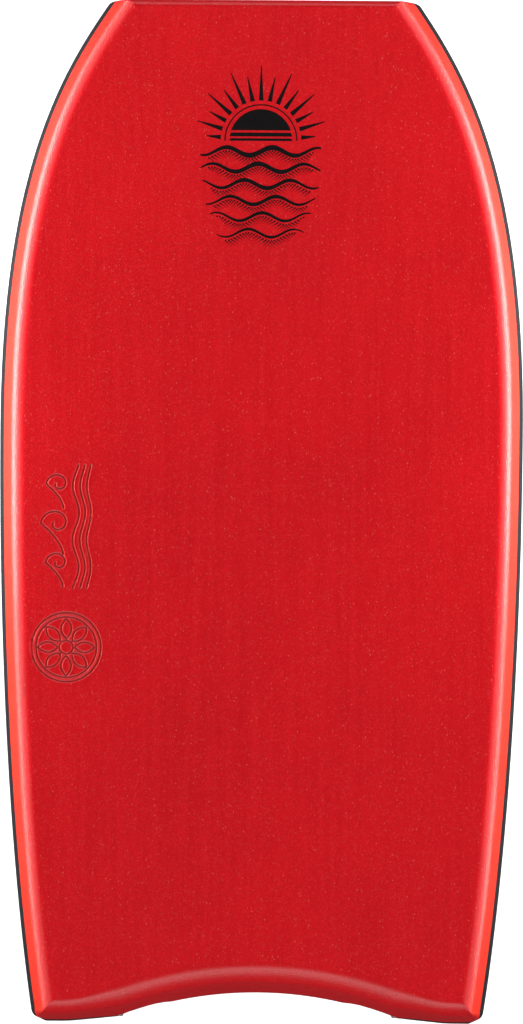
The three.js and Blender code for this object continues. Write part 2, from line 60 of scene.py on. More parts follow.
CHINE_TOP = THICKNESS - CHINE_RADIUS * (1 - math.cos(CHINE_ANGLE))
CHINE_RUN = (CHINE_TOP - RAIL_TOP) / math.tan(CHINE_ANGLE)
DECK_INSET = RAIL_TOP_INSET + CHINE_RUN + CHINE_RADIUS * math.sin(CHINE_ANGLE)
NOSE_FOOT = THICKNESS - NOSE_RADIUS
TAIL_BEVEL = DECK_CRESCENT_DEPTH - CRESCENT_DEPTH
TAIL_FOOT = THICKNESS - TAIL_RADIUS * (1 - math.cos(TAIL_ANGLE))
TAIL_ROUND_RUN = TAIL_RADIUS * math.sin(TAIL_ANGLE)


def lerp(a, b, t):
    return a + (b - a) * t


def smooth(x, low, high):
    t = np.clip((x - low) / (high - low), 0, 1)
    return t * t * (3 - 2 * t)


def rocker(y):
    t = np.clip((np.asarray(y, float) - ROCKER_START) / (NOSE_Y - ROCKER_START), 0, None)
    return NOSE_LIFT * t**ROCKER_POWER


# ---------------------------------------------------------------- outline of one side

def bezier(points, t):
    a, b, c, d = (np.array(p, float) for p in points)
    t = t[:, None]
    return a * (1 - t) ** 3 + 3 * b * t * (1 - t) ** 2 + 3 * c * t**2 * (1 - t) + d * t**3


def side_table():
    """Points and headings of the right side's outline, evenly spaced in length from the tail corner."""
    tail, nose = (234.2, TAIL_Y), (159.3, NOSE_Y)
    lean, taper = math.radians(9.2), math.radians(34.3)
    rear = bezier(
        [
            tail,
            (tail[0] + 81.6 * math.sin(lean), tail[1] + 81.6 * math.cos(lean)),
            (WIDTH / 2, WIDE_Y - 334.5),
            (WIDTH / 2, WIDE_Y),
        ],
        np.linspace(0, 1, 1500),
    )
    front = bezier(
        [
            (WIDTH / 2, WIDE_Y),
            (WIDTH / 2, WIDE_Y + 277),
            (nose[0] + 81.8 * math.sin(taper), nose[1] - 81.8 * math.cos(taper)),
            nose,
        ],
        np.linspace(0, 1, 1500),
    )
    points = np.vstack([rear, front[1:]])
    along = np.concatenate([[0], np.cumsum(np.hypot(*np.diff(points, axis=0).T))])
    even = np.linspace(0, along[-1], 3000)
    points = np.column_stack([np.interp(even, along, points[:, k]) for k in (0, 1)])
    heading = np.gradient(points, even, axis=0)
    heading /= np.hypot(*heading.T)[:, None]
    return even, points, heading


SIDE_S, SIDE_P, SIDE_T = side_table()
SIDE_LENGTH = SIDE_S[-1]


def side_point(distance, inset):
    """Points on the right side, a distance along it from the tail corner and an inset inside it."""
    distance = np.atleast_1d(np.asarray(distance, float))
    on = np.clip(distance, 0, SIDE_LENGTH)
    p = np.column_stack([np.interp(on, SIDE_S, SIDE_P[:, k]) for k in (0, 1)])
    t = np.column_stack([np.interp(on, SIDE_S, SIDE_T[:, k]) for k in (0, 1)])
    return p + t * (distance - on)[:, None] + np.column_stack([-t[:, 1], t[:, 0]]) * inset


def sag(radius, x):
    return radius - np.sqrt(np.maximum(radius**2 - np.asarray(x, float) ** 2, 0))


def soft_max(a, b, blend):
    return (a + b + np.hypot(a - b, blend)) / 2


def bottom_tail_edge(x):
    arc = CRESCENT_DEPTH - sag(CRESCENT_RADIUS, x)
    kink = CRESCENT_DEPTH - sag(CRESCENT_RADIUS, KINK)
    tip = kink * (TIP_END - x) / (TIP_END - KINK)
    return TAIL_Y + soft_max(soft_max(arc, tip, 0.5), 0, 0.4)


def deck_tail_edge(x):
    arc = DECK_CRESCENT_DEPTH - sag(DECK_CRESCENT_RADIUS, x)
    return TAIL_Y + soft_max(arc, DECK_TIP_DEPTH, DECK_TIP_BLEND)


def tail_line(x, run):
    return lerp(deck_tail_edge(x), bottom_tail_edge(x), run / TAIL_BEVEL)


def crossing(inset, low, high, line_at):
    for _ in range(40):
        middle = (low + high) / 2
        x, y = side_point(middle, inset)[0]
        low, high = (middle, high) if y < line_at(x) else (low, middle)
    return (low + high) / 2


# ---------------------------------------------------------------- rings: level lines round the board

class Ring:
    """A contour line: its inset at the side and the nose, its run at the tail, and its heights."""

    def __init__(self, side, nose, tail, z_side, z_nose=None, z_tail=None):
        self.side, self.nose, self.tail = side, nose, tail
        self.z = (z_side, z_side if z_nose is None else z_nose, z_side if z_tail is None else z_tail)


def side_inset(z):
    """The side's profile, with its ridge slightly rounded."""
    below = SLICK_INSET * (1 - z / RIDGE)
    above = RAIL_TOP_INSET * (z - RIDGE) / (RAIL_TOP - RIDGE)
    return float(soft_max(below, above, 0.7)) - 0.25


def nose_inset(z):
    return NOSE_UNDERCUT * (1 - z / NOSE_FOOT)


def tail_run(z):
    return lerp(TAIL_BEVEL, TAIL_ROUND_RUN, z / TAIL_FOOT)


def face_ring(z, depth=0.0):
    return Ring(side_inset(z) + depth, nose_inset(z) + depth, tail_run(z) - depth, z)


def round_ring(turn, depth=0.0):
    def at(radius, angle):
        reach = (radius - depth) * math.sin(angle * turn)
        return reach, THICKNESS - depth - (radius - depth) * (1 - math.cos(angle * turn))

    side, z_side = at(CHINE_RADIUS, CHINE_ANGLE)
    nose, z_nose = at(NOSE_RADIUS, math.pi / 2)
    tail, z_tail = at(TAIL_RADIUS, TAIL_ANGLE)
    return Ring(DECK_INSET - side, NOSE_RADIUS - nose, tail, z_side, z_nose, z_tail)


def rim_ring(depth, z=RAIL_TOP):
    return Ring(
        side_inset(z) + depth / math.sin(CHINE_ANGLE),
        nose_inset(z) + depth,
        tail_run(z) - depth / math.sin(TAIL_ANGLE),
        z,
    )


def between_rings(a, b, t):
    return Ring(
        lerp(a.side, b.side, t),
        lerp(a.nose, b.nose, t),
        lerp(a.tail, b.tail, t),
        *(lerp(p, q, t) for p, q in zip(a.z, b.z)),
    )


# Shares of the half width and of the side's length that the halves of the rounded corners take up.
CORNER_U = 0.962
CORNER_V_TAIL, CORNER_V_NOSE = 0.012, 0.008


def half_edges(ring, u, v):
    """The tail and nose lines at shares u of the half width, and the right side at shares v."""
    nose_line = NOSE_Y - ring.nose

    def tail_at(x):
        return tail_line(x, ring.tail)

    start = crossing(ring.side, -60, SIDE_LENGTH / 2, tail_at)
    end = crossing(ring.side, SIDE_LENGTH / 2, SIDE_LENGTH + 60, lambda x: nose_line)
    tail_trim = max(TAIL_CORNER - ring.side / 2, TAIL_CORNER / 3)
    nose_trim = max(NOSE_CORNER - ring.side / 4, NOSE_CORNER / 3)
    z_side, z_nose, z_tail = ring.z

    def corner(at, trim, inward, line_y, z_line):
        tip = side_point(at, ring.side)[0]
        first = np.array([tip[0] - trim, line_y(tip[0] - trim)])
        last = side_point(at + inward * trim, ring.side)[0]

        def point(t):
            t = t[:, None]
            xy = first * (1 - t) ** 2 + 2 * tip * t * (1 - t) + last * t**2
            return np.column_stack([xy, lerp(z_line, z_side, smooth(t[:, 0], 0, 1))])

        return first, point

    tail_first, tail_round = corner(start, tail_trim, 1, tail_at, z_tail)
    nose_first, nose_round = corner(end, nose_trim, -1, lambda x: nose_line, z_nose)

    def across(first, rounded, line_y, z):
        x = first[0] * u / CORNER_U
        line = np.column_stack([x, line_y(x) + 0 * x, np.full(len(u), z)])
        bend = rounded(np.clip((u - CORNER_U) / (1 - CORNER_U), 0, 1) / 2)
        return np.where((u > CORNER_U)[:, None], bend, line)

    tail = across(tail_first, tail_round, tail_at, z_tail)
    nose = across(nose_first, nose_round, lambda x: nose_line, z_nose)
    straight = np.clip((v - CORNER_V_TAIL) / (1 - CORNER_V_TAIL - CORNER_V_NOSE), 0, 1)
    at = lerp(start + tail_trim, end - nose_trim, straight)
    side = np.column_stack([side_point(at, ring.side), np.full(len(v), z_side)])
    low = tail_round(0.5 + np.clip(v / CORNER_V_TAIL, 0, 1) / 2)
    high = nose_round(0.5 + np.clip((1 - v) / CORNER_V_NOSE, 0, 1) / 2)
    side = np.where((v < CORNER_V_TAIL)[:, None], low, side)
    side = np.where((v > 1 - CORNER_V_NOSE)[:, None], high, side)
    return tail, nose, side


def grid_of(ring, columns, rows):
    """Points inside a ring: rows of v from the tail to the nose, columns of u from -1 to 1."""
    tail, nose, side = half_edges(ring, np.abs(columns), rows)
    mirror = np.where(columns < 0, -1.0, 1.0)
    corner_tail, corner_nose = tail[-1], nose[-1]
    v = (side[:, 1] - corner_tail[1]) / (corner_nose[1] - corner_tail[1])
    share = lerp(tail[:, 0] / corner_tail[0], nose[:, 0] / corner_nose[0], v[:, None])
    x = share * side[:, :1] * mirror
    v = v[:, None]
    y = side[:, 1:2] + (1 - v) ** 4 * (tail[:, 1] - corner_tail[1]) + v**4 * (nose[:, 1] - corner_nose[1])
    z = np.repeat(side[:, 2:3], len(columns), axis=1)
    grid = np.dstack([x, y, z])
    grid[0] = tail * np.column_stack([mirror, np.ones((len(columns), 2))])
    grid[-1] = nose * np.column_stack([mirror, np.ones((len(columns), 2))])
    return grid


def loop_of(grid):
    """The outline of a grid, anticlockwise from above, starting at the left tail corner."""
    return np.vstack([grid[0], grid[1:-1, -1], grid[-1, ::-1], grid[-2:0:-1, 0]])


def loop_stations(columns, rows):
    """Where each point of a loop lies, counted 0 to 4 by the edge that it is on."""
    return np.concatenate(
        [(columns + 1) / 2, 1 + rows[1:-1], 2 + (1 - columns[::-1]) / 2, 3 + (1 - rows[-2:0:-1])]
    )


def ring_loop(ring, columns, rows):
    return loop_of(grid_of(ring, columns, rows))


# ---------------------------------------------------------------- meshes

class Builder:
    """Collects points in millimetres and faces, and makes a mesh object bent by the rocker."""

    def __init__(self):
        self.points, self.faces, self.count = [], [], 0

    def add(self, points):
        points = np.asarray(points, float).reshape(-1, 3)
        first = self.count
        self.points.append(points)
        self.count += len(points)
        return np.arange(first, self.count)

    def grid(self, ids, turned=False):
        a, b, c, d = ids[:-1, :-1], ids[:-1, 1:], ids[1:, 1:], ids[1:, :-1]
        quads = np.stack([a, d, c, b] if turned else [a, b, c, d], axis=-1)
        self.faces += quads.reshape(-1, 4).tolist()

    def wall(self, lower, upper, closed=True):
        a, b = lower, upper
        if closed:
            a, b = np.append(a, a[0]), np.append(b, b[0])
        self.faces += np.stack([a[:-1], a[1:], b[1:], b[:-1]], axis=-1).tolist()

    def stitch(self, outer, outer_at, inner, inner_at):
        """Faces between two closed loops of different counts, matched by their stations."""
        outer, inner = np.append(outer, outer[0]), np.append(inner, inner[0])
        outer_at, inner_at = np.append(outer_at, 4.0), np.append(inner_at, 4.0)
        i = j = 0
        while i < len(outer) - 1 or j < len(inner) - 1:
            step_outer = j == len(inner) - 1 or (
                i < len(outer) - 1 and outer_at[i + 1] <= inner_at[j + 1] + 1e-9
            )
            if step_outer:
                self.faces.append([int(outer[i]), int(inner[j]), int(outer[i + 1])])
                i += 1
            else:
                self.faces.append([int(outer[i]), int(inner[j]), int(inner[j + 1])])
                j += 1

    def make(self, name, bend=True, smooth_angle=40):
        points = np.vstack(self.points)
        if bend:
            points[:, 2] += rocker(points[:, 1])
        mesh = bpy.data.meshes.new(name)
        mesh.from_pydata((points * MM).tolist(), [], self.faces)
        mesh.validate()
        mesh.update()
        piece = bpy.data.objects.new(name, mesh)
        bpy.context.scene.collection.objects.link(piece)
        for polygon in mesh.polygons:
            polygon.use_smooth = True
        if smooth_angle is not None:
            mesh.set_sharp_from_angle(angle=math.radians(smooth_angle))
        return piece


def spread(*spans):
    """Sorted values from (low, high, step) spans, without near repeats."""
    values = np.concatenate([np.arange(low, high, step) for low, high, step in spans] + [[spans[-1][1]]])
    values = np.sort(values)
    keep = np.concatenate([[True], np.diff(values) > 1e-6])
    return values[keep]


def corner_steps(count):
    return np.linspace(CORNER_U, 1, count)


COARSE_HALF = np.concatenate([np.linspace(0, CORNER_U, 26)[:-1], corner_steps(6)])
COARSE_U = np.concatenate([-COARSE_HALF[:0:-1], COARSE_HALF])
COARSE_V = np.concatenate(
    [
        np.linspace(0, CORNER_V_TAIL, 6)[:-1],
        np.linspace(CORNER_V_TAIL, 1 - CORNER_V_NOSE, 90)[:-1],
        np.linspace(1 - CORNER_V_NOSE, 1, 5),
    ]
)

# ---------------------------------------------------------------- pressed marks in the deck

MARK_X, SCROLL_Y, ROSETTE_Y = -207.0, -16.0, -142.0


def polyline_distance(x, y, line):
    best = np.full(x.shape, 1e9)
    for (ax, ay), (bx, by) in zip(line[:-1], line[1:]):
        dx, dy = bx - ax, by - ay
        t = np.clip(((x - ax) * dx + (y - ay) * dy) / (dx * dx + dy * dy + 1e-12), 0, 1)
        best = np.minimum(best, np.hypot(x - ax - t * dx, y - ay - t * dy))
    return best


def wave_curl(cx, cy, size, flip):
    """One rolling wave: a rising back that curls over into a small spiral."""
    t = np.linspace(0, 1, 26)
    back = np.column_stack([-1.25 + 1.25 * t, 0.9 * t**1.7])
    a = np.linspace(math.pi / 2, -1.55 * math.pi, 40)
    radius = np.linspace(0.62, 0.12, 40)
    curl = np.column_stack([radius * np.cos(a) * 0.95, 0.28 + radius * np.sin(a)])
    line = np.vstack([back, curl])
    # The scroll reads along the board, so its own right is the board's nose.
    return np.column_stack([cx - flip * line[:, 1] * size, cy + line[:, 0] * size])


def scroll_lines():
    lines = []
    for k, size in enumerate((20.0, 26.0, 20.0)):
        lines.append(wave_curl(MARK_X + 1, SCROLL_Y - 38 + 41 * k, size, 1))
    t = np.linspace(-64, 64, 90)
    for offset, swing in ((14.0, 3.4), (21.0, 2.8), (27.5, 2.2)):
        lines.append(np.column_stack([MARK_X + offset + swing * np.sin(t / 9.0), SCROLL_Y + t]))
    return lines


def rosette_lines():
    lines = []
    a = np.linspace(0, 2 * math.pi, 97)
    for radius in (36.0, 31.5, 7.0):
        lines.append(np.column_stack([MARK_X + 5 + radius * np.cos(a), ROSETTE_Y + radius * np.sin(a)]))
    for k in range(8):
        turn = k * math.pi / 4
        t = np.linspace(0, 1, 16)
        out = 9.0 + 20.5 * t
        half = 5.4 * np.sin(math.pi * t) ** 0.8
        for way in (-1, 1):
            px = out * math.cos(turn) - way * half * math.sin(turn)
            py = out * math.sin(turn) + way * half * math.cos(turn)
            lines.append(np.column_stack([MARK_X + 5 + px, ROSETTE_Y + py]))
    return lines


def groove(distance, width=0.8, depth=1.7, lip=0.25):
    """The depth of a pressed line, with a low swell of foam along each side of it."""
    cut = depth * np.exp(-((distance / width) ** 2))
    swell = lip * np.exp(-(((distance - 1.9) / 0.7) ** 2))
    return swell - cut


def pressed(x, y):
    """How far the deck rises or sinks at a point for the pressed marks."""
    depth = np.zeros(x.shape)
    near = (x < MARK_X + 48) & (x > MARK_X - 40) & (y < SCROLL_Y + 78) & (y > ROSETTE_Y - 48)
    px, py = x[near], y[near]
    distance = np.full(px.shape, 1e9)
    for line in scroll_lines() + rosette_lines():
        distance = np.minimum(distance, polyline_distance(px, py, line))
    depth[near] = groove(distance)
    return depth


# ---------------------------------------------------------------- pieces

def deck_foam():
    """The deck skin: a closed sheet, dense where the marks are pressed into it."""
    half = np.concatenate(
        [np.linspace(0, 0.62, 16)[:-1], np.linspace(0.62, CORNER_U, 12)[:-1], corner_steps(8)]
    )
    marks_inner, marks_outer, mark_step = 0.655, 0.955, 0.0029
    dense = np.arange(marks_inner, marks_outer, mark_step)
    left = np.unique(np.concatenate([half[(half < marks_inner) | (half > marks_outer)], dense]))
    columns = np.concatenate([-left[:0:-1], half])
    fine = np.arange(0.300, 0.556, 0.00082)
    plain = np.concatenate(
        [
            np.linspace(0, CORNER_V_TAIL, 9)[:-1],
            np.linspace(CORNER_V_TAIL, 0.300, 25)[:-1],
            np.linspace(0.556, 1 - CORNER_V_NOSE, 57)[:-1],
            np.linspace(1 - CORNER_V_NOSE, 1, 7),
        ]
    )
    rows = np.unique(np.concatenate([plain, fine]))
    mesh = Builder()
    top = grid_of(round_ring(0), columns, rows)
    top[..., 2] += pressed(top[..., 0], top[..., 1])
    ids = mesh.add(top).reshape(top.shape[:2])
    mesh.grid(ids)
    number = np.dstack([ids, ids, ids])
    upper = loop_of(number)[:, 0].astype(int)
    rings = [round_ring(turn) for turn in np.linspace(0, 1, 12)[1:]]
    foot, rim = round_ring(1), rim_ring(0)
    rings += [between_rings(foot, rim, t) for t in (0.25, 0.5, 0.75, 0.93)]
    rings += [Ring(rim.side + 0.1, rim.nose + 0.1, rim.tail - 0.1, RAIL_TOP + 0.25)]
    rings += [Ring(rim.side + 0.45, rim.nose + 0.45, rim.tail - 0.45, RAIL_TOP + 0.02)]
    for ring in rings:
        lower = mesh.add(ring_loop(ring, columns, rows))
        mesh.wall(lower, upper)
        upper = lower
    inner = mesh.add(ring_loop(rim_ring(DECK_SKIN), COARSE_U, COARSE_V))
    mesh.stitch(upper, loop_stations(columns, rows), inner, loop_stations(COARSE_U, COARSE_V))
    for turn in (1, 0.5):
        next_in = mesh.add(ring_loop(round_ring(turn, DECK_SKIN), COARSE_U, COARSE_V))
        mesh.wall(next_in, inner)
        inner = next_in
    under = grid_of(round_ring(0, DECK_SKIN), COARSE_U, COARSE_V)
    ids = mesh.add(under).reshape(under.shape[:2])
    number = np.dstack([ids, ids, ids])
    mesh.wall(loop_of(number)[:, 0].astype(int), inner)
    mesh.grid(ids, turned=True)
    return mesh.make("deck_foam", smooth_angle=None)


LEVELS = np.linspace(0, RAIL_TOP, 34)
EDGE_STATIONS = loop_stations(COARSE_U, COARSE_V)


def edge_tables():
    return [
        np.stack([ring_loop(face_ring(z, depth), COARSE_U, COARSE_V) for z in LEVELS])
        for depth in (0.0, RAIL)
    ]


EDGE_TABLES = edge_tables()


def edge_point(index, z, depth):
    """Points of the edge at loop indices, heights and depths behind the outer face."""
    index = np.asarray(index) % EDGE_TABLES[0].shape[1]
    row = np.clip(z / LEVELS[-1] * (len(LEVELS) - 1), 0, len(LEVELS) - 1.0001)
    low = row.astype(int)
    part = (row - low)[:, None]
    outer, inner = (lerp(t[low, index], t[low + 1, index], part) for t in EDGE_TABLES)
    return lerp(outer, inner, (depth / RAIL)[:, None])


def edge_strip(name, first, last, bottom, top, edge=0.5, foot_depth=0.0):
    """A foam strip along the edge between two loop indices. bottom and top give its heights at them."""
    index = np.arange(first, last + 1)
    low, high = bottom(index), top(index)
    tall = np.maximum(high - low, 0.05)
    bevel = np.minimum(edge, tall / 3)
    steps = np.linspace(0, 1, 9)
    section = [
        (low, np.full(len(index), RAIL)),
        (low, bevel + foot_depth),
        (low + 0.3 * bevel, 0.3 * bevel + foot_depth),
    ]
    section += [(lerp(low + bevel, high - bevel, t), foot_depth * (1 - t) ** 2 + 0 * bevel) for t in steps]
    section += [(high - 0.3 * bevel, 0.3 * bevel), (high, bevel), (high, np.full(len(index), RAIL))]
    mesh = Builder()
    rows = np.stack([mesh.add(edge_point(index, np.asarray(z), np.asarray(d))) for z, d in section])
    closed = np.vstack([rows, rows[:1]])
    mesh.grid(closed)
    mesh.faces.append(rows[:, 0].tolist())
    mesh.faces.append(rows[::-1, -1].tolist())
    return mesh.make(name, smooth_angle=35)


COLUMNS = len(COARSE_U) - 1
ROWS = len(COARSE_V) - 1
TAIL_RIGHT, NOSE_RIGHT = COLUMNS, COLUMNS + ROWS
NOSE_LEFT, TAIL_LEFT = NOSE_RIGHT + COLUMNS, 2 * (COLUMNS + ROWS)


CORNER = 5
BLACK_AT_CORNER, BLACK_PAST_CORNER = 27.0, 10.5


def rail_height(back):
    """The top of the black foam round a tail corner, by the steps past the corner's middle."""
    return np.interp(back, [-CORNER, 0, CORNER], [RAIL_TOP, BLACK_AT_CORNER, BLACK_PAST_CORNER])


def tip_height(index):
    """The top of the black foam along the foot of the tail, thinning out towards the crescent."""
    x = edge_point(index, np.full(len(index), 2.0), np.zeros(len(index)))[:, 0]
    return np.interp(np.abs(x), [139.0, 165.0, 205.0, 224.0], [1.6, 6.5, 9.0, BLACK_PAST_CORNER])


def rails():
    """The right rails, and their mirrored copies."""
    inboard = int(np.argmin(np.abs(EDGE_TABLES[0][0, : COLUMNS + 1, 0] - 139.0)))
    nose_end = NOSE_RIGHT + CORNER

    def lower_top(index):
        back = TAIL_RIGHT - index
        round_corner = np.interp(back, [0, CORNER], [RIDGE, BLACK_PAST_CORNER - 0.6])
        return np.where(back <= 0, RIDGE, np.where(back < CORNER, round_corner, tip_height(index))) - 0.05

    def upper_foot(index):
        return lower_top(index) + 0.1

    def upper_top(index):
        return rail_height(TAIL_RIGHT - index) - 0.05

    def foot(index):
        return np.full(len(index), SLICK + 0.05)

    made = [
        edge_strip("rail_foam_lower_right", inboard, nose_end, foot, lower_top),
        edge_strip("rail_foam_upper_right", TAIL_RIGHT - CORNER + 1, nose_end, upper_foot, upper_top),
    ]
    for piece in list(made):
        copy = piece.copy()
        copy.data = piece.data.copy()
        copy.name = piece.name.replace("right", "left")
        bpy.context.scene.collection.objects.link(copy)
        points = np.empty(len(copy.data.vertices) * 3)
        copy.data.vertices.foreach_get("co", points)
        points = points.reshape(-1, 3) * [-1, 1, 1]
        copy.data.vertices.foreach_set("co", points.ravel())
        copy.data.flip_normals()
        made.append(copy)
    return made, inboard, nose_end


def channel_rise(x, y):
    across = smooth(np.abs(x), *CHANNEL_INNER) - smooth(np.abs(x), *CHANNEL_OUTER)
    return CHANNEL_DEPTH * across * (1 - smooth(y, TAIL_Y, TAIL_Y + CHANNEL_LENGTH))


def bumpers(inboard, nose_end):
    """The red strips across the tail and the nose."""

    def tail_bottom(index):
        at = edge_point(index, np.full(len(index), 2.0), np.zeros(len(index)))
        low = SLICK + 0.05 + channel_rise(at[:, 0], at[:, 1])
        tip = np.maximum(low, tip_height(index))
        for side in (index, COLUMNS - index):
            low = np.where((side >= inboard) & (side <= TAIL_RIGHT - CORNER), tip, low)
            low = np.where(side > TAIL_RIGHT - CORNER, rail_height(TAIL_RIGHT - side), low)
        return np.minimum(low, RAIL_TOP - 0.3)

    def top(index):
        return np.full(len(index), RAIL_TOP - 0.02)

    def nose_bottom(index):
        return np.full(len(index), SLICK + 0.05)

    tail = edge_strip("tail_foam", -CORNER, COLUMNS + CORNER, tail_bottom, top)
    nose = edge_strip("nose_foam", nose_end, NOSE_LEFT - CORNER, nose_bottom, top)
    return tail, nose


def slick_sheet():
    """The bottom skin, with its two tail channels and a rounded edge."""
    half = np.concatenate(
        [
            np.linspace(0, 0.36, 12)[:-1],
            np.linspace(0.36, 0.68, 34)[:-1],
            np.linspace(0.68, CORNER_U, 10)[:-1],
            corner_steps(6),
        ]
    )
    columns = np.concatenate([-half[:0:-1], half])
    mesh = Builder()

    def level(ring, height):
        grid = grid_of(ring, columns, COARSE_V)
        rise = channel_rise(grid[..., 0], grid[..., 1])
        run = deck_tail_edge(np.abs(grid[..., 0])) - bottom_tail_edge(np.abs(grid[..., 0]))
        lean = (1 - TAIL_ROUND_RUN / TAIL_BEVEL) / TAIL_FOOT
        grid[..., 1] += rise * run * lean * (1 - smooth(grid[..., 1], TAIL_Y + 30, TAIL_Y + 120))
        grid[..., 2] = height + rise
        return grid

    bottom = level(face_ring(0, 0.9), 0.0)
    ids = mesh.add(bottom).reshape(bottom.shape[:2])
    mesh.grid(ids, turned=True)
    lower = loop_of(np.dstack([ids, ids, ids]))[:, 0].astype(int)
    for depth, height in ((0.65, 0.1), (0.5, 0.35), (0.5, 0.85), (0.6, 1.1)):
        upper = mesh.add(loop_of(level(face_ring(0, depth), height)))
        mesh.wall(lower, upper)
        lower = upper
    top = level(face_ring(0, 0.85), SLICK)
    ids = mesh.add(top).reshape(top.shape[:2])
    mesh.wall(lower, loop_of(np.dstack([ids, ids, ids]))[:, 0].astype(int))
    mesh.grid(ids)
    return mesh.make("slick_sheet", smooth_angle=50)


# ---------------------------------------------------------------- the printed mark

PRINT_X, PRINT_Y, INK_LIFT, INK = -3.0, 373.0, 0.02, 0.06


def ink_patch(mesh, lower, upper):
    """A thin strip of ink between two lines of the same count, given in the mark's own millimetres."""
    rows = []
    for lift in (INK_LIFT, INK_LIFT + INK):
        for line in (lower, upper):
            line = np.asarray(line, float)
            height = np.full(len(line), THICKNESS + lift)
            rows.append(mesh.add(np.column_stack([PRINT_X + line[:, 0], PRINT_Y + line[:, 1], height])))
    under_low, under_high, over_low, over_high = rows
    mesh.wall(over_low, over_high, closed=False)
    mesh.wall(under_high, under_low, closed=False)
    mesh.wall(under_low, over_low, closed=False)
    mesh.wall(over_high, under_high, closed=False)
    for end in (0, -1):
        corners = [int(row[end]) for row in (under_low, over_low, over_high, under_high)]
        mesh.faces.append(corners if end == 0 else corners[::-1])


def ink_arc(mesh, radius, width, start, stop, middle_y=0.0):
    a = np.linspace(stop, start, max(8, int(abs(stop - start) * radius / 2.5)))
    circle = np.column_stack([np.cos(a), np.sin(a)])
    inner, outer = (circle * (radius + side * width / 2) + [0, middle_y] for side in (-1, 1))
    ink_patch(mesh, inner, outer)


def ink_dot(mesh, x, y, radius):
    a = np.linspace(math.pi - 0.3, 0.3, 7)
    ink_patch(
        mesh,
        np.column_stack([x + radius * np.cos(a), y - radius * np.sin(a)]),
        np.column_stack([x + radius * np.cos(a), y + radius * np.sin(a)]),
    )


def printed_mark():
    """A low sun with rays over rolling swell, whose ink breaks up into dots as it fades."""
    mesh = Builder()
    x = np.linspace(-1, 1, 48)
    disc, sun_y, rays, waves = 33.0, 14.0, 15, 6
    for low, high in ((0.0, 2.6), (4.6, 8.6), (11.0, disc)):
        reach = math.sqrt(disc**2 - low**2)
        roof = np.sqrt(np.maximum(disc**2 - (x * reach) ** 2, low**2 + 0.05))
        lower = np.column_stack([x * reach, np.full(len(x), sun_y + low)])
        ink_patch(mesh, lower, np.column_stack([x * reach, sun_y + np.minimum(roof, high)]))
    ink_arc(mesh, 37.5, 1.3, 0.0, math.pi, sun_y)
    for k in range(rays):
        turn = math.radians(5 + 170 / (rays - 1) * k)
        heading = np.array([math.cos(turn), math.sin(turn)])
        across = np.array([-math.sin(turn), math.cos(turn)])
        long = (66.0 if k % 2 else 56.0) + 12.0 * math.sin(turn)
        r = np.linspace(42.0, long, 10)[:, None]
        half = np.linspace(2.4, 0.4, 10)[:, None]
        middle = r * heading + [0, sun_y]
        ink_patch(mesh, middle - half * across, middle + half * across)
    for k in range(waves):
        base = 3.0 - 17.0 * k
        reach = 63.0 * math.sqrt(1 - (k / 7.2) ** 2)
        t = x * reach

        def crest(at):
            return base + 4.2 * np.sin(at / 7.6 + 1.9 * k)

        thick = (5.6 - 0.5 * k) * (0.22 + 0.78 * np.cos(x * 1.45) ** 0.8)
        lower, upper = (np.column_stack([t, crest(t) + side * thick / 2]) for side in (-1, 1))
        ink_patch(mesh, lower, upper)
        for row in range(5):
            for column in range(-22, 23):
                dot_x = column * 3.0 + (row % 2) * 1.5
                if abs(dot_x) < reach - 7 - 2 * row:
                    ink_dot(mesh, dot_x, crest(dot_x) - 4.0 - 1.7 * row, 0.95 - 0.15 * row)
    return mesh.make("deck_print", smooth_angle=30)


# ---------------------------------------------------------------- materials

